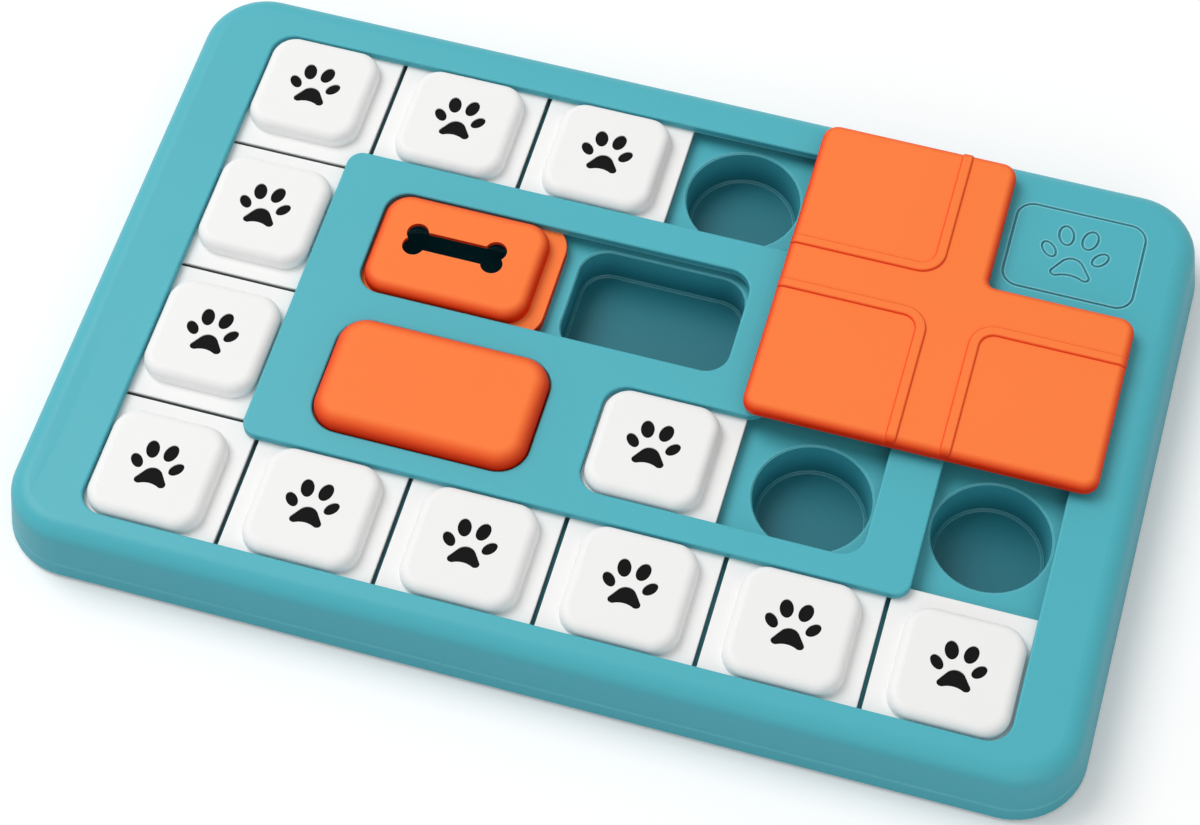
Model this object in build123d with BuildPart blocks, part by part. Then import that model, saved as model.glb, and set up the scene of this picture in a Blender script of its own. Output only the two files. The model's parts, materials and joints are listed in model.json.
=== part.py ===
from build123d import *
from math import radians, tan
import os

os.makedirs("parts", exist_ok=True)

# Treat puzzle board. Sizes in mm. The origin is the centre of the footprint on the resting plane,
# +X runs along the long side, +Y to the back, +Z up.

# Sliding tiles. They ride on the deck, and a key on each one stands up through the cover's slot.
tile_size = 57.0
tile_gap_x = 1.7
tile_gap_y = 1.333
tile_corner = 3.0
tile_thickness = 4.15
tile_float = 0.15
key_size = 43.5
key_corner = 9.5
key_round = 3.8
key_rise = 2.4
key_wall = 2.1
key_skin = 1.6
tile_edge = 0.4
slot_play = 1.0
track_play = 0.4

# Ring track: six columns and four rows of tile places, open at its two ends.
columns = 6
rows = 4
ring_shift_x = 1.55
ring_shift_y = -2.5
slot_outer_round = 9.0
slot_inner_round = 6.0
slot_lip_round = 0.8

# Board shell
rim_side = 52.75
rim_end = 41.0
board_corner = 27.0
side_lean = 9.0
foot_height = 1.0
seam_height = 7.5
rim_height = 27.0
rim_round = 8.0
cover_thickness = 3.2
side_wall = 2.5
shell_gap = 0.4
cavity_round = 2.0
seam_edge = 0.35
foot_edge = 0.8
root = 0.8

# Tray
deck_drop = 7.8
deck_thickness = 2.2
guide_wall = 1.2
partition = 1.6
tray_wall = 2.2
well_radius = 21.8
well_floor_radius = 20.4
well_floor = 2.8
well_lip_bevel = 0.6
well_floor_bevel = 0.8
well_wall = 1.9
back_well_shift = -4.5

# Inner row at the front: squeaker button and one square tile
inner_tile_width = 58.5
inner_tile_depth = 50.4
inner_well_gap = 1.0
branch_well_gap = 3.1
squeaker_spacing = 6.3
button_corner = 11.0
button_round = 5.4
button_rise = 5.3
button_wall = 2.2
button_gap = 0.6
button_travel_gap = 0.3
flange_thickness = 2.2
flange_reach_x = 5.0
flange_reach_y = 1.5
flange_gap_x = 2.15
flange_gap_y = 0.6

# Inner row at the back: the long slider with the bone
bone_key_margin = 6.0
bone_base_corner = 12.0
bone_back_wall = 3.1
middle_strip = 6.9
post_strip = 9.0
branch_strip = 8.0
right_strip = 6.6
bone_well_corner = 11.0

# Paw sunk into each key and inked, about the key's centre
paw_sink = 0.5
inner_toe_x = 3.5
inner_toe_y = 6.1
inner_toe_width = 5.0
inner_toe_length = 7.3
inner_toe_lean = 13
outer_toe_x = 7.5
outer_toe_y = 0.3
outer_toe_width = 4.1
outer_toe_length = 6.3
outer_toe_lean = 40
pad_dome_y = -4.9
pad_dome_radius = 4.0
pad_lobe_x = 4.5
pad_lobe_y = -6.95
pad_lobe_radius = 1.45
pad_hollow_top = -7.45
pad_hollow_radius = 8.0
pad_hollow_round = 1.0

# Bone cut through the long slider
bone_lobe_reach = 30.6
bone_lobe_spread = 5.8
bone_lobe_radius = 4.2
bone_shaft = 8.2
bone_mark_shift_x = -1.5
bone_mark_shift_y = 2.0

# Spinner plate on its pivot
spinner_half = 65.3
spinner_arm = 9.5
spinner_corner = 6.0
spinner_notch_round = 3.0
spinner_gap = 0.2
spinner_thickness = 5.0
spinner_round = 3.0
spinner_foot_bevel = 0.4
spinner_skin = 2.4
pocket_margin = 4.0
bead_width = 4.2
bead_height = 0.9
bead_offset = 10.0
bead_turn = 7.5
bead_edge = 0.85
bead_overhang = 1.0
pivot_inset_x = 4.1
pivot_inset_y = 2.6
pivot_room_x = 0.9
pivot_room_y = 0.1
hub_radius = 9.0
hub_gap = 0.1
stem_radius = 3.2
stem_fit = 0.06
pivot_boss_radius = 4.5
pivot_boss_depth = 2.8
washer_radius = 4.4
washer_thickness = 1.0
screw_head_height = 1.9
pivot_bore_radius = 5.0

# Cover screws, feet, squeaker works
post_radius = 2.7
post_inset_side = 13.0
post_inset_back = 9.7
screw_radius = 1.1
screw_head_radius = 2.3
screw_head_round = 0.6
screw_fit = 0.05
screw_bite = 4.5
screw_tip_room = 0.5
screw_recess_width = 0.6
screw_recess_depth = 0.9
sleeve_radius = 4.2
sleeve_drop = 7.0
foot_radius = 8.0
bellows_radius = 17.0
bellows_neck = 13.5
bellows_wall = 1.5
bellows_folds = 4
bellows_room = 1.0
bellows_top_gap = 0.15
reed_radius = 8.0
reed_thickness = 1.8
reed_neck = 2.8
reed_hole = 1.0

# Engraved corner panel
panel_width = 50.0
panel_depth = 38.6
panel_corner = 7.0
panel_line = 1.0
panel_sink = 0.6
panel_paw = 1.3
panel_inset_x = 46.85
panel_inset_y = 39.3

# Places worked out from the sizes above
pitch_x = tile_size + tile_gap_x
pitch_y = tile_size + tile_gap_y
ring_width = pitch_x * (columns - 1)
ring_depth = pitch_y * (rows - 1)
board_width = ring_width + 2 * rim_side
board_depth = ring_depth + 2 * rim_end
ring_left = ring_shift_x - ring_width / 2
ring_right = ring_shift_x + ring_width / 2
ring_front = ring_shift_y - ring_depth / 2
ring_back = ring_shift_y + ring_depth / 2
column_x = [ring_left + pitch_x * i for i in range(columns)]
row_y = [ring_front + pitch_y * i for i in range(rows)]

slot_half = key_size / 2 + slot_play
track_half = tile_size / 2 + track_play
island_left = ring_left + track_half
island_right = ring_right - track_half
island_front = ring_front + track_half
island_back = ring_back - track_half

cover_underside = rim_height - cover_thickness
deck_height = rim_height - deck_drop
tile_bottom = deck_height + tile_float
tile_top = tile_bottom + tile_thickness
key_top = rim_height + key_rise

branch_half = inner_tile_width / 2 + track_play
branch_x = island_right - right_strip - branch_half
inner_tile_step = inner_tile_width + inner_well_gap
inner_tile_x = branch_x - inner_tile_step
inner_track_left = inner_tile_x - branch_half
inner_track_half = inner_tile_depth / 2 + flange_gap_y
inner_row_y = island_front + partition + inner_track_half
branch_well_y = inner_row_y + inner_tile_depth + branch_well_gap

bone_track_left = island_left + post_strip
bone_track_right = branch_x - branch_half - branch_strip
bone_base_width = (bone_track_right - bone_track_left) / 2 - track_play
bone_track_front = inner_row_y + inner_track_half + middle_strip
bone_track_back = island_back - bone_back_wall
bone_track_half = (bone_track_back - bone_track_front) / 2
bone_base_depth = 2 * (bone_track_half - track_play)
bone_row_y = (bone_track_back + bone_track_front) / 2
bone_x = bone_track_left + track_play + bone_base_width / 2
bone_step = bone_base_width
bone_reach = bone_base_width / 2 + track_play
bone_key_width = bone_base_width - 2 * bone_key_margin

squeaker_half_x = (inner_track_left - squeaker_spacing - bone_track_left) / 2
squeaker_x = bone_track_left + squeaker_half_x
button_width = 2 * (squeaker_half_x - flange_gap_x - flange_reach_x)
button_depth = 2 * (inner_track_half - flange_gap_y - flange_reach_y)
button_top = rim_height + button_rise
flange_top = cover_underside - button_travel_gap
button_inside = button_top - button_wall

pivot_x = island_right - pivot_inset_x
pivot_y = island_back - pivot_inset_y
back_row_stop = pivot_x - pivot_bore_radius - pivot_room_x - track_half
right_column_stop = pivot_y - pivot_bore_radius - pivot_room_y - track_half
spinner_bottom = key_top + spinner_gap
hub_bottom = rim_height + hub_gap
pivot_boss_bottom = cover_underside - pivot_boss_depth
stem_bottom = pivot_boss_bottom - 2 * hub_gap
washer_bottom = stem_bottom - washer_thickness

panel_x = board_width / 2 - panel_inset_x
panel_y = board_depth / 2 - panel_inset_y

side_post_x = board_width / 2 - post_inset_side
back_post_y = board_depth / 2 - post_inset_back
inner_post_x = (island_left + bone_track_left) / 2
branch_post_x = (bone_track_right + branch_x - branch_half) / 2
post_places = [(side * side_post_x, y) for side in (-1, 1) for y in (row_y[0], ring_shift_y, row_y[3])]
post_places += [(x, back_post_y) for x in (column_x[1], column_x[3])]
post_places += [(inner_post_x, inner_row_y), (inner_post_x, bone_row_y), (branch_post_x, bone_row_y)]

back_wells = [(column_x[i] + back_well_shift, ring_back) for i in range(4)]
back_wells.append((back_row_stop, ring_back))
side_wells = [(ring_left, row_y[1]), (ring_left, row_y[2])]
side_wells += [(ring_right, row_y[1]), (ring_right, right_column_stop)]
front_wells = [(x, ring_front) for x in column_x]
inner_wells = [(inner_tile_x, inner_row_y), (branch_x, inner_row_y), (branch_x, branch_well_y)]
round_wells = back_wells + side_wells + front_wells + inner_wells
bone_wells = [(bone_x, bone_row_y), (bone_x + bone_step, bone_row_y)]
corner_post = (panel_x, panel_y)
foot_places = [
    round_wells[0],
    round_wells[2],
    corner_post,
    front_wells[0],
    front_wells[3],
    front_wells[5],
]


def shell_size(height, inset):
    """Width, depth and corner of the leaning shell at a height, taken in by an inset."""
    shrink = inset + (height - foot_height) * tan(radians(side_lean))
    return board_width - 2 * shrink, board_depth - 2 * shrink, board_corner - shrink


def ring_outline(half, outer_round, inner_round):
    """Closed outline around the ring's centre line, a half width away from it."""
    back_end = back_row_stop + half
    right_end = right_column_stop + half
    with BuildSketch() as outline:
        with BuildLine():
            Polyline(
                (back_end, ring_back + half),
                (ring_left - half, ring_back + half),
                (ring_left - half, ring_front - half),
                (ring_right + half, ring_front - half),
                (ring_right + half, right_end),
                (ring_right - half, right_end),
                (ring_right - half, ring_front + half),
                (ring_left + half, ring_front + half),
                (ring_left + half, ring_back - half),
                (back_end, ring_back - half),
                close=True,
            )
        make_face()
        inner = outline.vertices().filter_by_position(Axis.X, ring_left, ring_right)
        inner = inner.filter_by_position(Axis.Y, ring_front, ring_back)
        fillet([corner for corner in outline.vertices() if corner not in inner], outer_round)
        inner = outline.vertices().filter_by_position(Axis.X, ring_left, ring_right)
        fillet(inner.filter_by_position(Axis.Y, ring_front, ring_back), inner_round)
    return outline.sketch


def branch_outline(half_x, half_y, corner_round):
    """L-shaped outline of the inner tile's track, which turns back under the spinner."""
    left = inner_tile_x - half_x
    right = branch_x + half_x
    back = branch_well_y + half_y
    with BuildSketch() as outline:
        with BuildLine():
            Polyline(
                (left, inner_row_y - half_y),
                (right, inner_row_y - half_y),
                (right, back),
                (branch_x - half_x, back),
                (branch_x - half_x, inner_row_y + half_y),
                (left, inner_row_y + half_y),
                close=True,
            )
        make_face()
        fillet(outline.vertices(), corner_round)
    return outline.sketch


def bone_outline(half_x, half_y, corner_round):
    """Straight outline of the long slider's track, over both of its places."""
    middle = bone_x + bone_step / 2
    with BuildSketch(Plane((middle, bone_row_y, 0))) as outline:
        RectangleRounded(bone_step + 2 * half_x, 2 * half_y, corner_round)
    return outline.sketch


def toe_marks(grow, inset):
    """Four leaning toes, in place about the paw's centre."""
    with BuildSketch() as toes:
        for side in (-1, 1):
            with Locations((side * inner_toe_x * grow, inner_toe_y * grow)):
                Ellipse(
                    inner_toe_width / 2 * grow - inset,
                    inner_toe_length / 2 * grow - inset,
                    rotation=-side * inner_toe_lean,
                )
            with Locations((side * outer_toe_x * grow, outer_toe_y * grow)):
                Ellipse(
                    outer_toe_width / 2 * grow - inset,
                    outer_toe_length / 2 * grow - inset,
                    rotation=-side * outer_toe_lean,
                )
    return toes.sketch


def pad_mark(grow):
    """Domed pad with two lobes and a hollow lower edge, in place about the paw's centre."""
    with BuildSketch() as pad:
        with Locations((0, pad_dome_y * grow)):
            Circle(pad_dome_radius * grow)
        with Locations((-pad_lobe_x * grow, pad_lobe_y * grow), (pad_lobe_x * grow, pad_lobe_y * grow)):
            Circle(pad_lobe_radius * grow)
        make_hull()
        with Locations((0, (pad_hollow_top - pad_hollow_radius) * grow)):
            Circle(pad_hollow_radius * grow, mode=Mode.SUBTRACT)
        hollow_ends = pad.vertices().sort_by_distance((0, pad_lobe_y * grow * 2))[:2]
        fillet(hollow_ends, pad_hollow_round * grow)
    return pad.sketch


def paw_mark():
    """Paw as it is sunk into the keys."""
    with BuildSketch() as mark:
        add(toe_marks(1.0, 0))
        add(pad_mark(1.0))
    return mark.sketch


def bone_mark():
    """Bone with two lobes at each end, about its own centre."""
    with BuildSketch() as bone:
        Rectangle(bone_lobe_reach, bone_shaft)
        with GridLocations(bone_lobe_reach, bone_lobe_spread, 2, 2):
            Circle(bone_lobe_radius)
    return bone.sketch


def make_slider(label, x, y, base, key, mark, mark_place, mark_depth):
    """Flat base (width, depth, corner) with a hollow raised key, and a mark cut down into the key's top."""
    with BuildPart() as slider:
        with BuildSketch(Plane((x, y, tile_bottom))):
            RectangleRounded(*base)
        extrude(amount=tile_thickness)
        fillet(slider.faces().sort_by(Axis.Z)[-1].edges(), tile_edge)
        with BuildSketch(Plane((x, y, tile_top))):
            RectangleRounded(key[0], key[1], key_corner)
        extrude(amount=key_top - tile_top)
        fillet(slider.faces().sort_by(Axis.Z)[-1].edges(), key_round)
        with BuildSketch(Plane((x, y, tile_bottom))):
            RectangleRounded(key[0] - 2 * key_wall, key[1] - 2 * key_wall, key_corner - key_wall)
        extrude(amount=key_top - key_skin - tile_bottom, mode=Mode.SUBTRACT)
        with BuildSketch(Plane((x + mark_place[0], y + mark_place[1], key_top))):
            add(mark)
        extrude(amount=-mark_depth, mode=Mode.SUBTRACT)
    slider.part.label = label
    export_step(slider.part, f"parts/{label}.step")


# Top cover: a leaning shell with a large rounded rim, hollow from below
with BuildPart() as cover_cavity:
    with BuildSketch(Plane.XY.offset(seam_height)):
        RectangleRounded(*shell_size(seam_height, side_wall))
    extrude(amount=cover_underside - seam_height, taper=side_lean)
    fillet(cover_cavity.faces().sort_by(Axis.Z)[-1].edges(), cavity_round)

with BuildPart() as top_cover:
    with BuildSketch(Plane.XY.offset(seam_height)):
        RectangleRounded(*shell_size(seam_height, 0))
    extrude(amount=rim_height - seam_height, taper=side_lean)
    fillet(top_cover.faces().sort_by(Axis.Z)[-1].edges(), rim_round)
    add(cover_cavity.part, mode=Mode.SUBTRACT)
    chamfer(top_cover.faces().sort_by(Axis.Z)[0].outer_wire().edges(), seam_edge)

    # Slots for the keys, and the opening for the squeaker button
    with BuildSketch(Plane.XY.offset(rim_height)):
        add(ring_outline(slot_half, slot_outer_round, slot_inner_round))
        add(branch_outline(slot_half, slot_half, slot_outer_round))
        add(bone_outline(bone_key_width / 2 + slot_play, slot_half, slot_outer_round))
        with Locations((squeaker_x, inner_row_y)):
            RectangleRounded(
                button_width + 2 * button_gap,
                button_depth + 2 * button_gap,
                button_corner + button_gap,
            )
    extrude(amount=-cover_thickness, mode=Mode.SUBTRACT)
    lip = top_cover.faces().filter_by(Axis.Z).sort_by(Axis.Z)[-1].inner_wires().edges()
    fillet(lip, slot_lip_round)

    # Posts for the screws, and the boss that carries the spinner's stem
    with BuildSketch(Plane.XY.offset(deck_height)):
        with Locations(*post_places):
            Circle(post_radius)
    extrude(amount=cover_underside - deck_height + root)
    with BuildSketch(Plane.XY.offset(pivot_boss_bottom)):
        with Locations((pivot_x, pivot_y)):
            Circle(pivot_boss_radius)
    extrude(amount=pivot_boss_depth + root)
    with BuildSketch(Plane.XY.offset(deck_height)):
        with Locations(*post_places):
            Circle(screw_radius + screw_fit)
    extrude(amount=screw_bite + screw_tip_room, mode=Mode.SUBTRACT)
    with BuildSketch(Plane.XY.offset(pivot_boss_bottom)):
        with Locations((pivot_x, pivot_y)):
            Circle(stem_radius + stem_fit)
    extrude(amount=rim_height - pivot_boss_bottom, mode=Mode.SUBTRACT)

    # Corner panel: a rounded frame line with a paw drawn in line inside it
    with BuildSketch(Plane((panel_x, panel_y, rim_height))):
        RectangleRounded(panel_width, panel_depth, panel_corner)
        RectangleRounded(
            panel_width - 2 * panel_line,
            panel_depth - 2 * panel_line,
            panel_corner - panel_line,
            mode=Mode.SUBTRACT,
        )
        add(toe_marks(panel_paw, 0))
        add(toe_marks(panel_paw, panel_line), mode=Mode.SUBTRACT)
        add(pad_mark(panel_paw))
        offset(pad_mark(panel_paw), amount=-panel_line, mode=Mode.SUBTRACT)
    extrude(amount=-panel_sink, mode=Mode.SUBTRACT)
top_cover.part.label = "top_cover"
export_step(top_cover.part, "parts/top_cover.step")


# Base tray: lip below the seam, skirt inside the cover, deck, guide walls and hanging wells
with BuildPart() as base_tray:
    with BuildSketch(Plane.XY.offset(foot_height)):
        RectangleRounded(*shell_size(foot_height, 0))
    extrude(amount=seam_height - foot_height, taper=side_lean)
    chamfer(base_tray.faces().sort_by(Axis.Z)[-1].edges(), seam_edge)
    fillet(base_tray.faces().sort_by(Axis.Z)[0].edges(), foot_edge)
    with BuildSketch(Plane.XY.offset(seam_height)):
        RectangleRounded(*shell_size(seam_height, side_wall + shell_gap))
    extrude(amount=deck_height - seam_height, taper=side_lean)
    with BuildSketch(Plane.XY.offset(foot_height)):
        RectangleRounded(*shell_size(foot_height, side_wall + shell_gap + tray_wall))
    extrude(amount=deck_height - deck_thickness - foot_height, taper=side_lean, mode=Mode.SUBTRACT)

    # Outsides of the wells, the squeaker pocket, the screw sleeves and the corner post
    with BuildSketch(Plane.XY.offset(foot_height)):
        with Locations(*round_wells):
            Circle(well_radius + well_wall)
        with Locations(*bone_wells):
            RectangleRounded(
                bone_key_width + 2 * well_wall,
                2 * (slot_half + well_wall),
                bone_well_corner + well_wall,
            )
        with Locations((squeaker_x, inner_row_y)):
            Rectangle(2 * (squeaker_half_x + well_wall), 2 * (inner_track_half + well_wall))
        with Locations(corner_post):
            Circle(foot_radius + well_wall)
    extrude(amount=deck_height - deck_thickness + root - foot_height)
    with BuildSketch(Plane.XY.offset(deck_height - sleeve_drop)):
        with Locations(*post_places):
            Circle(sleeve_radius)
    extrude(amount=sleeve_drop - deck_thickness + root)

    # Insides of the wells, with a bevelled lip and floor
    for place in round_wells:
        with BuildSketch(Plane((place[0], place[1], well_floor))):
            Circle(well_floor_radius)
        with BuildSketch(Plane((place[0], place[1], deck_height))):
            Circle(well_radius)
        loft(mode=Mode.SUBTRACT)
    with BuildSketch(Plane.XY.offset(well_floor)):
        with Locations(*bone_wells):
            RectangleRounded(bone_key_width, 2 * slot_half, bone_well_corner)
    extrude(amount=deck_height - well_floor, mode=Mode.SUBTRACT)
    chamfer(base_tray.faces().filter_by(Axis.Z).group_by(Axis.Z)[1].edges(), well_floor_bevel)
    chamfer(base_tray.faces().filter_by(Axis.Z).sort_by(Axis.Z)[-1].inner_wires().edges(), well_lip_bevel)

    # Guide walls beside the tracks, and the open squeaker pocket
    with BuildSketch(Plane.XY.offset(deck_height)):
        add(ring_outline(track_half + guide_wall, tile_corner + guide_wall, tile_corner))
        add(branch_outline(branch_half + guide_wall, inner_track_half + guide_wall, tile_corner))
        add(bone_outline(bone_reach + guide_wall, bone_track_half + guide_wall, tile_corner))
        add(ring_outline(track_half, tile_corner, tile_corner), mode=Mode.SUBTRACT)
        add(branch_outline(branch_half, inner_track_half, tile_corner / 2), mode=Mode.SUBTRACT)
        add(bone_outline(bone_reach, bone_track_half, tile_corner / 2), mode=Mode.SUBTRACT)
    extrude(amount=cover_underside - deck_height)
    with BuildSketch(Plane.XY.offset(well_floor)):
        with Locations((squeaker_x, inner_row_y)):
            Rectangle(2 * squeaker_half_x, 2 * inner_track_half)
    extrude(amount=cover_underside - well_floor, mode=Mode.SUBTRACT)

    # Hollow corner post, screw holes, pivot bore and sound hole
    with BuildSketch(Plane.XY.offset(foot_height)):
        with Locations(corner_post):
            Circle(foot_radius)
    extrude(amount=deck_height - deck_thickness - foot_height, mode=Mode.SUBTRACT)
    with BuildSketch(Plane.XY.offset(deck_height - sleeve_drop)):
        with Locations(*post_places):
            Circle(screw_head_radius + screw_fit)
    extrude(amount=sleeve_drop - deck_thickness, mode=Mode.SUBTRACT)
    with BuildSketch(Plane.XY.offset(deck_height - deck_thickness)):
        with Locations(*post_places):
            Circle(screw_radius + screw_fit)
    extrude(amount=deck_thickness, mode=Mode.SUBTRACT)
    with BuildSketch(Plane.XY.offset(foot_height)):
        with Locations((pivot_x, pivot_y)):
            Circle(pivot_bore_radius)
    extrude(amount=cover_underside - foot_height, mode=Mode.SUBTRACT)
    with BuildSketch(Plane.XY.offset(foot_height)):
        with Locations((squeaker_x, inner_row_y)):
            Circle(reed_neck + screw_fit)
    extrude(amount=well_floor - foot_height, mode=Mode.SUBTRACT)
base_tray.part.label = "base_tray"
export_step(base_tray.part, "parts/base_tray.step")


# Sliders: square tiles round the ring and in the inner row, and the long one with the bone
paw = paw_mark()


def make_tile(label, x, y, base=(tile_size, tile_size, tile_corner)):
    """Slider with a square key and an inked paw."""
    make_slider(label, x, y, base, (key_size, key_size), paw, (0, 0), paw_sink)


for number in range(3):
    make_tile(f"tile_back_{number + 1}", column_x[number], ring_back)
for number in range(2):
    make_tile(f"tile_left_{number + 1}", ring_left, row_y[2 - number])
for number in range(columns):
    make_tile(f"tile_front_{number + 1}", column_x[number], ring_front)
make_tile("tile_inner", inner_tile_x, inner_row_y, (inner_tile_width, inner_tile_depth, tile_corner))
bone_base = (bone_base_width, bone_base_depth, bone_base_corner)
bone_key = (bone_key_width, key_size)
bone_shift = (bone_mark_shift_x, bone_mark_shift_y)
make_slider("bone_slider", bone_x, bone_row_y, bone_base, bone_key, bone_mark(), bone_shift, 2 * key_skin)


# Squeaker button: a hollow cap that a flange keeps under the cover
with BuildPart() as squeaker_button:
    with BuildSketch(Plane((squeaker_x, inner_row_y, flange_top - flange_thickness))):
        RectangleRounded(
            button_width + 2 * flange_reach_x,
            button_depth + 2 * flange_reach_y,
            button_corner,
        )
    extrude(amount=flange_thickness)
    with BuildSketch(Plane((squeaker_x, inner_row_y, flange_top))):
        RectangleRounded(button_width, button_depth, button_corner)
    extrude(amount=button_top - flange_top)
    fillet(squeaker_button.faces().sort_by(Axis.Z)[-1].edges(), button_round)
    with BuildSketch(Plane((squeaker_x, inner_row_y, flange_top - flange_thickness))):
        RectangleRounded(
            button_width - 2 * button_wall,
            button_depth - 2 * button_wall,
            button_corner - button_wall,
        )
    extrude(amount=button_inside - button_round / 2 - flange_top + flange_thickness, mode=Mode.SUBTRACT)
    with BuildSketch(Plane((squeaker_x, inner_row_y, flange_top))):
        Circle(bellows_radius + bellows_room)
    extrude(amount=button_inside - flange_top, mode=Mode.SUBTRACT)
squeaker_button.part.label = "squeaker_button"
export_step(squeaker_button.part, "parts/squeaker_button.step")

# Reed plug in the sound hole, and the bellows that stands on it
with BuildPart() as squeaker_reed:
    with BuildSketch(Plane((squeaker_x, inner_row_y, well_floor))):
        Circle(reed_radius)
    extrude(amount=reed_thickness)
    with BuildSketch(Plane((squeaker_x, inner_row_y, foot_height))):
        Circle(reed_neck)
    extrude(amount=well_floor - foot_height)
    with BuildSketch(Plane((squeaker_x, inner_row_y, foot_height))):
        Circle(reed_hole)
    extrude(amount=well_floor + reed_thickness - foot_height, mode=Mode.SUBTRACT)
squeaker_reed.part.label = "squeaker_reed"
export_step(squeaker_reed.part, "parts/squeaker_reed.step")

bellows_bottom = well_floor + reed_thickness
bellows_height = button_inside - bellows_top_gap - bellows_bottom
fold = bellows_height / bellows_folds / 2
outside = [(bellows_neck, bellows_bottom)]
for number in range(bellows_folds):
    outside.append((bellows_radius, bellows_bottom + fold * (2 * number + 1)))
    outside.append((bellows_neck, bellows_bottom + fold * (2 * number + 2)))
inside = [(radius - bellows_wall, height) for radius, height in reversed(outside[1:-1])]
top_inside = (bellows_neck - bellows_wall, outside[-1][1] - bellows_wall)
bottom_inside = (bellows_neck - bellows_wall, bellows_bottom + bellows_wall)
with BuildPart() as squeaker_bellows:
    with BuildSketch(Plane((squeaker_x, inner_row_y, 0), x_dir=(1, 0, 0), z_dir=(0, -1, 0))):
        with BuildLine():
            Polyline(
                (reed_hole, bellows_bottom),
                *outside,
                (0, outside[-1][1]),
                (0, outside[-1][1] - bellows_wall),
                top_inside,
                *inside,
                bottom_inside,
                (reed_hole, bellows_bottom + bellows_wall),
                close=True,
            )
        make_face()
    revolve(axis=Axis((squeaker_x, inner_row_y, 0), (0, 0, 1)))
squeaker_bellows.part.label = "squeaker_bellows"
export_step(squeaker_bellows.part, "parts/squeaker_bellows.step")


# Spinner plate: a square short of one quarter, with a raised bead round each covered quarter
def spinner_outline():
    """Outline of the plate about its pivot."""
    with BuildSketch() as outline:
        with BuildLine():
            Polyline(
                (-spinner_half, -spinner_half),
                (spinner_half, -spinner_half),
                (spinner_half, spinner_arm),
                (spinner_arm, spinner_arm),
                (spinner_arm, spinner_half),
                (-spinner_half, spinner_half),
                close=True,
            )
        make_face()
        notch = outline.vertices().sort_by_distance((spinner_arm, spinner_arm))[0]
        fillet([corner for corner in outline.vertices() if corner != notch], spinner_corner)
        notch = outline.vertices().sort_by_distance((spinner_arm, spinner_arm))[0]
        fillet(notch, spinner_notch_round)
    return outline.sketch


# The beads are cut from a plate that stands higher, so that they run out over the rounded edge
bead_plane = Plane((pivot_x, pivot_y, spinner_bottom + spinner_thickness - spinner_round))
with BuildPart() as spinner_beads:
    with BuildSketch(bead_plane):
        add(spinner_outline())
    extrude(amount=spinner_round + bead_height)
    fillet(spinner_beads.faces().sort_by(Axis.Z)[-1].edges(), spinner_round)
    with BuildSketch(bead_plane):
        reach = spinner_half + bead_overhang
        for across, along in ((-1, 1), (-1, -1), (1, -1)):
            with BuildLine():
                FilletPolyline(
                    (across * reach, along * bead_offset),
                    (across * bead_offset, along * bead_offset),
                    (across * bead_offset, along * reach),
                    radius=bead_turn,
                )
            trace(line_width=bead_width)
    extrude(amount=spinner_round + bead_height, mode=Mode.INTERSECT)
    bead_edges = spinner_beads.faces().filter_by(Axis.Z).group_by(Axis.Z)[-1].edges()
    across_ends = bead_edges.filter_by(GeomType.LINE).filter_by(lambda edge: edge.length < 2 * bead_width)
    fillet([edge for edge in bead_edges if edge not in across_ends], bead_edge)

with BuildPart() as spinner_plate:
    with BuildSketch(Plane((pivot_x, pivot_y, spinner_bottom))):
        add(spinner_outline())
    extrude(amount=spinner_thickness)
    fillet(spinner_plate.faces().sort_by(Axis.Z)[-1].edges(), spinner_round)
    chamfer(spinner_plate.faces().sort_by(Axis.Z)[0].edges(), spinner_foot_bevel)
    add(spinner_beads.part)

    # Hollows below each quarter, the hub and the stem
    pocket = spinner_half - spinner_arm - 2 * pocket_margin
    pocket_place = spinner_arm + pocket_margin + pocket / 2
    with BuildSketch(Plane((pivot_x, pivot_y, spinner_bottom))):
        with Locations(
            (-pocket_place, pocket_place),
            (-pocket_place, -pocket_place),
            (pocket_place, -pocket_place),
        ):
            RectangleRounded(pocket, pocket, spinner_corner - pocket_margin)
    extrude(amount=spinner_thickness - spinner_skin, mode=Mode.SUBTRACT)
    with BuildSketch(Plane((pivot_x, pivot_y, hub_bottom))):
        Circle(hub_radius)
    extrude(amount=spinner_bottom - hub_bottom)
    with BuildSketch(Plane((pivot_x, pivot_y, stem_bottom))):
        Circle(stem_radius)
    extrude(amount=spinner_bottom - stem_bottom)
    with BuildSketch(Plane((pivot_x, pivot_y, stem_bottom))):
        Circle(screw_radius + screw_fit)
    extrude(amount=spinner_bottom + screw_tip_room - stem_bottom, mode=Mode.SUBTRACT)
spinner_plate.part.label = "spinner_plate"
export_step(spinner_plate.part, "parts/spinner_plate.step")

with BuildPart() as pivot_washer:
    with BuildSketch(Plane((pivot_x, pivot_y, washer_bottom))):
        Circle(washer_radius)
        Circle(screw_radius + screw_fit, mode=Mode.SUBTRACT)
    extrude(amount=washer_thickness)
pivot_washer.part.label = "pivot_washer"
export_step(pivot_washer.part, "parts/pivot_washer.step")


def add_screw(x, y, seat, length):
    """Pan-head screw pointing up, with its head below the seat and a cross recess."""
    with BuildPart() as screw:
        with BuildSketch(Plane((x, y, seat - screw_head_height))):
            Circle(screw_head_radius)
        extrude(amount=screw_head_height)
        fillet(screw.faces().sort_by(Axis.Z)[0].edges(), screw_head_round)
        with BuildSketch(Plane((x, y, seat))):
            Circle(screw_radius)
        extrude(amount=length)
        with BuildSketch(Plane((x, y, seat - screw_head_height))):
            Rectangle(2 * screw_radius, screw_recess_width)
            Rectangle(screw_recess_width, 2 * screw_radius)
        extrude(amount=screw_recess_depth, mode=Mode.SUBTRACT)
    return screw.part


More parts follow.
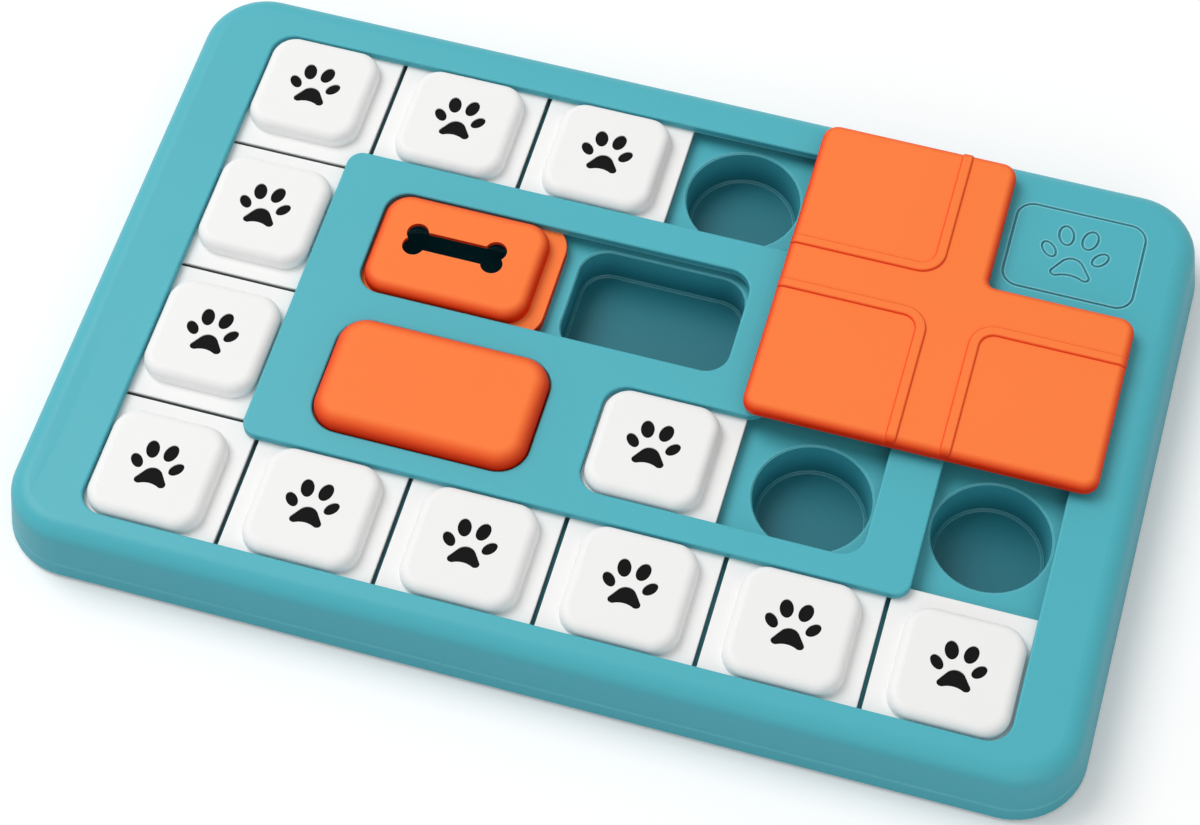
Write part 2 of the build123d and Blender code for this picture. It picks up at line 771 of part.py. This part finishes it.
pivot_screw = add_screw(pivot_x, pivot_y, washer_bottom, spinner_bottom - washer_bottom)
pivot_screw.label = "pivot_screw"
export_step(pivot_screw, "parts/pivot_screw.step")

screw_seat = deck_height - deck_thickness
screw_length = deck_thickness + screw_bite
cover_screws = Compound(children=[
    add_screw(x, y, screw_seat, screw_length) for x, y in post_places
])
cover_screws.label = "cover_screws"
export_step(cover_screws, "parts/cover_screws.step")

with BuildPart() as rubber_feet:
    with BuildSketch():
        with Locations(*foot_places):
            Circle(foot_radius)
    extrude(amount=foot_height)
rubber_feet.part.label = "rubber_feet"
export_step(rubber_feet.part, "parts/rubber_feet.step")
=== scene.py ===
import json
import math
import bmesh
import bpy
from mathutils import Matrix, Vector


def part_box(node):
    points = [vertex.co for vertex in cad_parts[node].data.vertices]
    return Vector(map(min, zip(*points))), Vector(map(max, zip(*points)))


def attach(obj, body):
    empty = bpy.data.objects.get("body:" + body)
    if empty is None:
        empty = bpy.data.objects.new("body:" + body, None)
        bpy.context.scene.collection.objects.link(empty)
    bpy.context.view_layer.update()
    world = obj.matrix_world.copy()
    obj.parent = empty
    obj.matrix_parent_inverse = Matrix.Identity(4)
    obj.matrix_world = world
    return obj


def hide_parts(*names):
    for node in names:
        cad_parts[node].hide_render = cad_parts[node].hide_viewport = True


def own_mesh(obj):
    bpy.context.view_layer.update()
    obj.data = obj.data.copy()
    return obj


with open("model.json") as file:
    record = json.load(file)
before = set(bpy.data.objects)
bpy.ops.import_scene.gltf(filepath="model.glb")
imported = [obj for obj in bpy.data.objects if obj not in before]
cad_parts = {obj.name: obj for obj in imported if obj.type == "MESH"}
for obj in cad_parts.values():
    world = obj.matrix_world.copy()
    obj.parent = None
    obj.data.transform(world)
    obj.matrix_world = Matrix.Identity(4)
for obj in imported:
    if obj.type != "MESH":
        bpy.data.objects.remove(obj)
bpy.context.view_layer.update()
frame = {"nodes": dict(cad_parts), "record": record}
nodes = frame["nodes"]
print("frame loaded:", len(nodes), "nodes")

millimetre = 0.001


def toLinear(hexColour):
    # sRGB hex, as a colour picker gives it, to the linear values that shaders want
    channels = [int(hexColour[i:i + 2], 16) / 255 for i in (0, 2, 4)]
    return [c / 12.92 if c <= 0.04045 else ((c + 0.055) / 1.055) ** 2.4 for c in channels] + [1.0]


# Small helpers for shader trees

def wire(tree, start, end):
    tree.links.new(start, end)


def addNode(tree, kind, **settings):
    node = tree.nodes.new(kind)
    for key, value in settings.items():
        setattr(node, key, value)
    return node


def feed(tree, socket, source):
    # a socket takes either another node's output or a plain number
    if hasattr(source, "links"):
        wire(tree, source, socket)
    else:
        socket.default_value = source


def maths(tree, operation, first, second=0.0, third=0.0, clamp=False):
    node = addNode(tree, "ShaderNodeMath", operation=operation, use_clamp=clamp)
    for socket, source in zip(node.inputs, (first, second, third)):
        feed(tree, socket, source)
    return node.outputs["Value"]


def ramp(tree, value, low, high, start=0.0, end=1.0, smooth=True):
    node = addNode(tree, "ShaderNodeMapRange")
    if smooth:
        node.interpolation_type = "SMOOTHSTEP"
    feed(tree, node.inputs["Value"], value)
    for name, source in (("From Min", low), ("From Max", high), ("To Min", start), ("To Max", end)):
        feed(tree, node.inputs[name], source)
    return node.outputs["Result"]


def noiseNode(tree, coordinates, scale, detail, roughness):
    noise = addNode(tree, "ShaderNodeTexNoise", noise_dimensions="3D")
    noise.inputs["Detail"].default_value = detail
    noise.inputs["Roughness"].default_value = roughness
    wire(tree, coordinates, noise.inputs["Vector"])
    feed(tree, noise.inputs["Scale"], scale)
    return noise.outputs["Fac"]


def splitVector(tree, vector):
    split = addNode(tree, "ShaderNodeSeparateXYZ")
    wire(tree, vector, split.inputs["Vector"])
    return split.outputs


def mixColour(tree, factor, first, second):
    node = addNode(tree, "ShaderNodeMix", data_type="RGBA")
    for name, source in (("Factor", factor), ("A", first), ("B", second)):
        feed(tree, node.inputs[name], source)
    return node.outputs["Result"]


def newGroup(name, inputs, outputs):
    group = bpy.data.node_groups.new(name, "ShaderNodeTree")
    for socketName, kind, value in inputs:
        socket = group.interface.new_socket(name=socketName, in_out="INPUT", socket_type=kind)
        socket.default_value = value
    for socketName, kind in outputs:
        group.interface.new_socket(name=socketName, in_out="OUTPUT", socket_type=kind)
    return group, addNode(group, "NodeGroupInput").outputs, addNode(group, "NodeGroupOutput").inputs


def placeGroup(tree, group, values):
    node = addNode(tree, "ShaderNodeGroup", node_tree=group)
    for name, source in values.items():
        feed(tree, node.inputs[name], source)
    return node.outputs


number = "NodeSocketFloat"
tint = "NodeSocketColor"
white = (1.0, 1.0, 1.0, 1.0)


# Shared effects

def makeMouldGrain():
    # spark-eroded tool finish: a fine grain over a faint flow swell
    group, given, result = newGroup(
        "mouldGrain",
        [("Grain Scale", number, 1800.0), ("Swell Scale", number, 28.0), ("Grain Share", number, 0.6)],
        [("Height", number), ("Swell", number)],
    )
    place = addNode(group, "ShaderNodeTexCoord").outputs["Object"]
    grain = noiseNode(group, place, given["Grain Scale"], detail=2.0, roughness=0.55)
    swell = noiseNode(group, place, given["Swell Scale"], detail=1.0, roughness=0.4)
    rise = maths(group, "MULTIPLY", grain, given["Grain Share"])
    rest = maths(group, "SUBTRACT", 1.0, given["Grain Share"])
    wire(group, maths(group, "MULTIPLY_ADD", swell, rest, rise), result["Height"])
    wire(group, swell, result["Swell"])
    return group


wearLook = {
    # each lay of scratches: its turn in radians and the stretch that draws the noise out into hairs
    "lays": ((0.5, (1.0, 0.035, 0.4)), (-0.9, (0.04, 1.0, 0.4))),
    # where each mask begins and is full: noise for hairs and smudges, the normal's Z for faces that look up
    "hair": (0.66, 0.72), "upward": (0.6, 1.0), "smudge": (0.45, 0.75),
}


def makeHandlingWear():
    # hairline scratches in two directions and soft smudges, stronger on faces that look up
    group, given, result = newGroup(
        "handlingWear",
        [("Scratch Scale", number, 60.0), ("Smudge Scale", number, 16.0), ("Amount", number, 1.0)],
        [("Scratches", number), ("Smudges", number)],
    )
    place = addNode(group, "ShaderNodeTexCoord").outputs["Object"]
    marks = []
    for turn, stretch in wearLook["lays"]:
        lay = addNode(group, "ShaderNodeMapping")
        lay.inputs["Rotation"].default_value = (0, 0, turn)
        lay.inputs["Scale"].default_value = stretch
        wire(group, place, lay.inputs["Vector"])
        hair = noiseNode(group, lay.outputs["Vector"], given["Scratch Scale"], detail=3.0, roughness=0.7)
        marks.append(ramp(group, hair, *wearLook["hair"]))
    both = maths(group, "MAXIMUM", marks[0], marks[1])
    normal = addNode(group, "ShaderNodeNewGeometry").outputs["Normal"]
    upward = ramp(group, splitVector(group, normal)["Z"], *wearLook["upward"])
    shown = maths(group, "MULTIPLY", both, upward)
    wire(group, maths(group, "MULTIPLY", shown, given["Amount"]), result["Scratches"])
    cloud = noiseNode(group, place, given["Smudge Scale"], detail=3.0, roughness=0.55)
    smudge = ramp(group, cloud, *wearLook["smudge"])
    wire(group, maths(group, "MULTIPLY", smudge, given["Amount"]), result["Smudges"])
    return group


def makeMouldedColourAndShade():
    # pigment that drifts slowly, with painted shade on walls (painted light where the wall colour is paler),
    # and painted shade low down in the hollows inside the rim
    group, given, result = newGroup(
        "mouldedColourAndShade",
        [("Colour", tint, white), ("Wall Shading Colour", tint, white), ("Deep Shade Colour", tint, white),
         ("Deep Below", number, 0.003), ("Deep Above", number, 0.03), ("Half Width", number, 1.0),
         ("Half Depth", number, 1.0), ("Wall Below", number, 0.05), ("Wall Above", number, 0.75),
         ("Wall Curve", number, 1.0), ("Drift Scale", number, 14.0), ("Drift", number, 0.03)],
        [("Colour", tint)],
    )
    normal = addNode(group, "ShaderNodeNewGeometry").outputs["Normal"]
    # painted shade on sloping faces, growing as the normal turns from up (painted light where the wall
    # colour is paler)
    turned = ramp(group, splitVector(group, normal)["Z"], given["Wall Below"], given["Wall Above"], 1.0, 0.0)
    sloping = maths(group, "POWER", turned, given["Wall Curve"], clamp=True)
    skin = mixColour(group, sloping, given["Colour"], given["Wall Shading Colour"])
    place = addNode(group, "ShaderNodeTexCoord").outputs["Object"]
    at = splitVector(group, place)
    acrossX = maths(group, "SUBTRACT", maths(group, "ABSOLUTE", at["X"]), given["Half Width"])
    acrossY = maths(group, "SUBTRACT", maths(group, "ABSOLUTE", at["Y"]), given["Half Depth"])
    outside = maths(group, "GREATER_THAN", maths(group, "MAXIMUM", acrossX, acrossY), 0.0)
    # painted shade low down inside the rim: lower heights turn to the deep colour
    raised = maths(group, "MAXIMUM", ramp(group, at["Z"], given["Deep Below"], given["Deep Above"]), outside)
    body = mixColour(group, raised, given["Deep Shade Colour"], skin)
    cloud = noiseNode(group, place, given["Drift Scale"], detail=2.0, roughness=0.5)
    amount = maths(group, "MULTIPLY_ADD", maths(group, "SUBTRACT", cloud, 0.5), given["Drift"], 1.0)
    shade = addNode(group, "ShaderNodeVectorMath", operation="SCALE")
    wire(group, body, shade.inputs[0])
    wire(group, amount, shade.inputs["Scale"])
    wire(group, shade.outputs["Vector"], result["Colour"])
    return group


levelNormal = 0.98  # a face whose normal has at least this Z counts as level


def makeSunkenInkAndGrooveShade():
    # mask of a sunken floor, level and at the given height: the tiles' printed paws, and painted shade in
    # the board's engraved grooves
    group, given, result = newGroup(
        "sunkenInkAndGrooveShade", [("Floor Height", number, 0.0), ("Reach", number, 0.0001)], [("Mask", number)],
    )
    place = addNode(group, "ShaderNodeTexCoord").outputs["Object"]
    height = splitVector(group, place)["Z"]
    off = maths(group, "ABSOLUTE", maths(group, "SUBTRACT", height, given["Floor Height"]))
    near = maths(group, "LESS_THAN", off, given["Reach"])
    normal = addNode(group, "ShaderNodeNewGeometry").outputs["True Normal"]
    level = maths(group, "GREATER_THAN", splitVector(group, normal)["Z"], levelNormal)
    wire(group, maths(group, "MULTIPLY", near, level), result["Mask"])
    return group


# rays for the rounded normal, and how far it turns before the painted edge highlight shows
edgeLook = {"samples": 6, "from": 0.01}


def makePaintedEdgeHighlight():
    # painted highlight: thin mask along edges, convex and concave alike, where a paler line stands in for
    # light caught by the edge
    group, given, result = newGroup(
        "edgeCatch", [("Width", number, 0.0004), ("Turn", number, 0.2)], [("Edge", number)],
    )
    rounded = addNode(group, "ShaderNodeBevel", samples=edgeLook["samples"])
    feed(group, rounded.inputs["Radius"], given["Width"])
    normal = addNode(group, "ShaderNodeNewGeometry").outputs["Normal"]
    along = addNode(group, "ShaderNodeVectorMath", operation="DOT_PRODUCT")
    wire(group, rounded.outputs["Normal"], along.inputs[0])
    wire(group, normal, along.inputs[1])
    turned = maths(group, "SUBTRACT", 1.0, along.outputs["Value"])
    wire(group, ramp(group, turned, edgeLook["from"], given["Turn"]), result["Edge"])
    return group


mouldGrain = makeMouldGrain()
handlingWear = makeHandlingWear()
mouldedColourAndShade = makeMouldedColourAndShade()
sunkenInkAndGrooveShade = makeSunkenInkAndGrooveShade()
edgeCatch = makePaintedEdgeHighlight()
print("shader groups ready")


# Finishes

# What a look has where it doesn't say otherwise: relief in millimetres, and no height that counts as deep
plainLook = {
    "ior": 1.5, "metal": 0.0, "sheen": 0.5, "drift": 0.04,
    "wallFrom": 0.05, "wallTo": 0.75, "wallCurve": 1.0,
    "deepFrom": -1.0, "deepTo": -0.9, "insideX": 1.0, "insideY": 1.0,
    "grain": 1800.0, "grainShare": 0.6, "bump": 0.1, "relief": 0.05,
    "glossSwing": 0.03, "wear": 0.0, "smudgeGloss": 0.05, "scratchGloss": 0.12, "scratchDepth": 0.5,
}


def makeFinish(name, given):
    look = {**plainLook, **given}
    material = bpy.data.materials.new(name)
    material.use_nodes = True
    tree = material.node_tree
    shader = tree.nodes["Principled BSDF"]
    shader.inputs["IOR"].default_value = look["ior"]
    shader.inputs["Metallic"].default_value = look["metal"]
    shader.inputs["Specular IOR Level"].default_value = look["sheen"]

    # the wall and deep colours are painted light and shade: on sloping faces, and low down in hollows and
    # gaps
    wall = look.get("wall", look["colour"])
    colour = placeGroup(tree, mouldedColourAndShade, {
        "Colour": toLinear(look["colour"]),
        "Wall Shading Colour": toLinear(wall),
        "Deep Shade Colour": toLinear(look.get("deepShade", wall)),
        "Deep Below": look["deepFrom"],
        "Deep Above": look["deepTo"],
        "Half Width": look["insideX"],
        "Half Depth": look["insideY"],
        "Wall Below": look["wallFrom"],
        "Wall Above": look["wallTo"],
        "Wall Curve": look["wallCurve"],
        "Drift": look["drift"],
    })["Colour"]
    # painted highlight: a paler line along edges
    if "edge" in look:
        rim = placeGroup(tree, edgeCatch, {"Width": look["edgeWidth"] * millimetre})["Edge"]
        share = maths(tree, "MULTIPLY", rim, look["edgeShare"])
        colour = mixColour(tree, share, colour, toLinear(look["edge"]))
    skin = placeGroup(tree, mouldGrain, {
        "Grain Scale": look["grain"],
        "Grain Share": look["grainShare"],
    })
    wear = placeGroup(tree, handlingWear, {"Amount": look["wear"]})
    glossy = look["roughness"] - look["glossSwing"]
    dull = look["roughness"] + look["glossSwing"]
    gloss = ramp(tree, skin["Swell"], 0.0, 1.0, glossy, dull, smooth=False)
    gloss = maths(tree, "MULTIPLY_ADD", wear["Smudges"], look["smudgeGloss"], gloss)
    gloss = maths(tree, "MULTIPLY_ADD", wear["Scratches"], look["scratchGloss"], gloss)
    height = maths(tree, "MULTIPLY_ADD", wear["Scratches"], -look["scratchDepth"], skin["Height"])
    # ink: the tiles' printed paws, and painted shade on the floors of the board's engraved grooves
    if "inkAndGrooveShade" in look:
        mask = placeGroup(tree, sunkenInkAndGrooveShade, {"Floor Height": look["inkAndGrooveShadeHeight"]})["Mask"]
        colour = mixColour(tree, mask, colour, toLinear(look["inkAndGrooveShade"]))
        gloss = ramp(tree, mask, 0.0, 1.0, gloss, look["inkAndGrooveShadeRoughness"], smooth=False)
    bump = addNode(tree, "ShaderNodeBump")
    bump.inputs["Strength"].default_value = look["bump"]
    bump.inputs["Distance"].default_value = look["relief"] * millimetre
    wire(tree, height, bump.inputs["Height"])
    wire(tree, bump.outputs["Normal"], shader.inputs["Normal"])
    wire(tree, colour, shader.inputs["Base Color"])
    wire(tree, gloss, shader.inputs["Roughness"])
    return material


# Heights that the looks refer to
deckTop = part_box("tile_front_1")[0][2]
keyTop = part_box("tile_front_1")[1][2]
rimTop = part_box("top_cover")[1][2]
tileBase = 4.15 * millimetre  # thickness of a tile's flat base
baseTop = deckTop + tileBase
seamFrom = 1.6 * millimetre  # painted shade in the gap between two bases reaches up to here below their tops
seamTo = 0.4 * millimetre

# The sunken marks lie this far below the key tops and the rim
pawSink = 0.5 * millimetre
panelSink = 0.6 * millimetre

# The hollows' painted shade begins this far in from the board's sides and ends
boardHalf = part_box("base_tray")[1]
rimEnd = 20 * millimetre
rimSide = 16 * millimetre

boardLook = {
    # the darker wall colour is painted shade on sloping faces, and the deep colour painted shade in the
    # wells and hollows below the deck
    "colour": "49AFBC", "wall": "3C9FAE", "deepShade": "1B717E",
    "deepFrom": 0.0, "deepTo": deckTop, "insideX": boardHalf[0] - rimEnd, "insideY": boardHalf[1] - rimSide,
    "roughness": 0.44, "sheen": 0.35, "grain": 1500.0, "bump": 0.12, "wear": 0.6,
    # the board's ink is painted shade on the floors of the panel's engraved grooves
    "inkAndGrooveShade": "2A8796", "inkAndGrooveShadeHeight": rimTop - panelSink, "inkAndGrooveShadeRoughness": 0.6,
    # painted highlight along the board's edges
    "edge": "A4E6EC", "edgeShare": 0.8, "edgeWidth": 1.1,
}
tileLook = {
    # the paler wall colour is painted light on the keys' slopes, and the grey deep colour painted shade down
    # the sides of the bases, in the gaps between them
    "colour": "F2F2F1", "wall": "F8F8F8", "deepShade": "7E8082",
    "deepFrom": baseTop - seamFrom, "deepTo": baseTop - seamTo,
    "roughness": 0.42, "sheen": 0.16, "grain": 1700.0, "bump": 0.10, "drift": 0.02, "wear": 0.7,
    "inkAndGrooveShade": "060606", "inkAndGrooveShadeHeight": keyTop - pawSink, "inkAndGrooveShadeRoughness": 0.85,
}
orangeLook = {
    # the deep red wall colour is painted shade on every slope, growing steeply as the face turns from up
    "colour": "FF8142", "wall": "E62C02", "wallFrom": 0.0, "wallTo": 1.0, "wallCurve": 0.28,
    "roughness": 0.42, "sheen": 0.08, "grain": 1700.0, "bump": 0.10, "drift": 0.05, "wear": 0.7,
    # painted highlight along the orange parts' edges
    "edge": "FFA066", "edgeShare": 0.3, "edgeWidth": 0.8,
}
footLook = {"colour": "1D1D1D", "roughness": 0.8, "grain": 900.0, "bump": 0.3}
bellowsLook = {"colour": "C9C6BE", "roughness": 0.62, "grain": 900.0, "bump": 0.2}
reedLook = {"colour": "E4E4E0", "roughness": 0.45}
washerLook = {"colour": "E2DFD6", "roughness": 0.5}
screwLook = {"colour": "B9B9BD", "roughness": 0.32, "metal": 1.0, "grain": 3000.0, "bump": 0.15}

finishes = {
    "teal_plastic": makeFinish("boardTeal", boardLook),
    "white_plastic": makeFinish("tileWhite", tileLook),
    "orange_plastic": makeFinish("coverOrange", orangeLook),
    "foot_rubber": makeFinish("footRubber", footLook),
    "bellows_rubber": makeFinish("bellowsRubber", bellowsLook),
    "reed_plastic": makeFinish("reedPlastic", reedLook),
    "washer_nylon": makeFinish("washerNylon", washerLook),
    "screw_steel": makeFinish("screwZinc", screwLook),
}
print("finishes ready:", len(finishes))

slotOf = {entry["node"]: entry["material_slot"] for entry in frame["record"]["subparts"]}
for name, node in nodes.items():
    node.data.materials.clear()
    node.data.materials.append(finishes[slotOf[name]])
print("nodes dressed")


# Bellows under the squeaker button: soft round folds

bellowsShape = {
    "radius": 17.0 * millimetre, "neck": 13.5 * millimetre,
    "wall": 1.5 * millimetre, "hole": 1.0 * millimetre,
    "folds": 4, "steps": 12, "around": 64, "crease": 50.0,
}


def foldRadius(shape, share):
    # share is how far up the bellows: 0 at its foot, 1 at its top
    swing = (shape["radius"] - shape["neck"]) / 2
    return shape["neck"] + swing * (1 - math.cos(2 * math.pi * shape["folds"] * share))


def spinProfile(mesh, points, centre, around):
    # rings round an upright axis; a point on the axis closes the form with a fan
    rings = []
    for radius, height in points:
        turns = around if radius > 0 else 1
        angles = [2 * math.pi * i / around for i in range(turns)]
        ring = [(centre[0] + radius * math.cos(a), centre[1] + radius * math.sin(a), height) for a in angles]
        rings.append([mesh.verts.new(place) for place in ring])
    for lower, upper in zip(rings, rings[1:]):
        for i in range(around):
            after = (i + 1) % around
            if len(upper) == 1:
                mesh.faces.new((lower[i], lower[after], upper[0]))
            elif len(lower) == 1:
                mesh.faces.new((lower[0], upper[after], upper[i]))
            else:
                mesh.faces.new((lower[i], lower[after], upper[after], upper[i]))


def makeBellows(shape):
    low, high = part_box("squeaker_bellows")
    centre = ((low[0] + high[0]) / 2, (low[1] + high[1]) / 2)
    tall = high[2] - low[2]
    wall = shape["wall"]
    count = shape["folds"] * shape["steps"]
    inFloor = low[2] + wall
    inRoof = high[2] - wall
    outside = [(foldRadius(shape, i / count), low[2] + tall * i / count) for i in range(count + 1)]
    lining = [(radius - wall, height) for radius, height in outside if inFloor < height < inRoof]
    points = [(0, high[2])] + outside[::-1] + [(shape["hole"], low[2]), (shape["hole"], inFloor)]
    points += [(shape["neck"] - wall, inFloor)] + lining + [(shape["neck"] - wall, inRoof), (0, inRoof)]
    form = bmesh.new()
    spinProfile(form, points, centre, shape["around"])
    bmesh.ops.recalc_face_normals(form, faces=form.faces[:])
    mesh = bpy.data.meshes.new("bellowsSkin")
    form.to_mesh(mesh)
    form.free()
    mesh.shade_smooth()
    mesh.set_sharp_from_angle(angle=math.radians(shape["crease"]))
    mesh.materials.append(finishes["bellows_rubber"])
    bellows = bpy.data.objects.new("bellowsSkin", mesh)
    bpy.context.scene.collection.objects.link(bellows)
    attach(bellows, "board")
    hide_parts("squeaker_bellows")
    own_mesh(bellows)


makeBellows(bellowsShape)
print("bellows folded")


# Floor, lamps and camera

floorLook = {"size": 8.0, "colour": "FBFBFB", "roughness": 0.9, "glow": 0.08}


def makeFloor(look):
    half = look["size"] / 2
    mesh = bpy.data.meshes.new("studioFloor")
    corners = [(-half, -half, 0), (half, -half, 0), (half, half, 0), (-half, half, 0)]
    mesh.from_pydata(corners, [], [(0, 1, 2, 3)])
    floor = bpy.data.objects.new("studioFloor", mesh)
    bpy.context.scene.collection.objects.link(floor)
    material = bpy.data.materials.new("floorPaper")
    material.use_nodes = True
    tree = material.node_tree
    shader = tree.nodes["Principled BSDF"]
    shader.inputs["Base Color"].default_value = toLinear(look["colour"])
    shader.inputs["Roughness"].default_value = look["roughness"]
    shader.inputs["Emission Color"].default_value = white
    # paper white to the eye, but the glow throws no light on the board
    seen = addNode(tree, "ShaderNodeLightPath").outputs["Is Camera Ray"]
    wire(tree, maths(tree, "MULTIPLY", seen, look["glow"]), shader.inputs["Emission Strength"])
    mesh.materials.append(material)


lamps = {
    "softLeft": {"place": (-1.9, 0.7, 2.9), "size": 2.4, "power": 74.0},
    "softFront": {"place": (0.9, -1.6, 1.2), "size": 1.6, "power": 6.0},
}


def makeLamp(name, look):
    light = bpy.data.lights.new(name, "AREA")
    light.shape = "DISK"
    light.size = look["size"]
    light.energy = look["power"]
    lamp = bpy.data.objects.new(name, light)
    bpy.context.scene.collection.objects.link(lamp)
    lamp.location = look["place"]
    lamp.rotation_euler = (-Vector(look["place"])).to_track_quat("-Z", "Y").to_euler()


worldLook = {"colour": white, "strength": 0.48}


def makeWorld(look):
    # the room lights the board at its own strength, while the eye and reflections see plain white
    world = bpy.data.worlds.new("studioRoom")
    bpy.context.scene.world = world
    world.use_nodes = True
    tree = world.node_tree
    room = tree.nodes["Background"]
    room.inputs["Color"].default_value = look["colour"]
    room.inputs["Strength"].default_value = look["strength"]
    seen = addNode(tree, "ShaderNodeBackground")
    seen.inputs["Color"].default_value = white
    path = addNode(tree, "ShaderNodeLightPath")
    choose = addNode(tree, "ShaderNodeMixShader")
    direct = maths(tree, "MAXIMUM", path.outputs["Is Camera Ray"], path.outputs["Is Glossy Ray"])
    direct = maths(tree, "MAXIMUM", direct, path.outputs["Is Transmission Ray"])
    wire(tree, direct, choose.inputs["Fac"])
    wire(tree, room.outputs["Background"], choose.inputs[1])
    wire(tree, seen.outputs["Background"], choose.inputs[2])
    wire(tree, choose.outputs["Shader"], tree.nodes["World Output"].inputs["Surface"])


cameraLook = {
    "place": (0.1646, -0.5566, 0.9722),
    "forward": (-0.14893, 0.48526, -0.86159),
    "roll": -1.106,
    "lens": 90.86,
    "sensor": 36.0,
    "near": 0.05,
}


def makeCamera(look):
    data = bpy.data.cameras.new("studioCamera")
    data.lens = look["lens"]
    data.sensor_width = look["sensor"]
    data.sensor_fit = "HORIZONTAL"
    data.clip_start = look["near"]
    camera = bpy.data.objects.new("studioCamera", data)
    bpy.context.scene.collection.objects.link(camera)
    aim = Vector(look["forward"]).to_track_quat("-Z", "Y").to_matrix().to_4x4()
    roll = Matrix.Rotation(math.radians(look["roll"]), 4, "Z")
    camera.matrix_world = Matrix.Translation(look["place"]) @ aim @ roll
    bpy.context.scene.camera = camera


makeFloor(floorLook)
for name, look in lamps.items():
    makeLamp(name, look)
makeWorld(worldLook)
makeCamera(cameraLook)
bpy.context.scene.view_settings.view_transform = "Standard"
print("stage, lamps and camera ready")

bpy.context.view_layer.update()
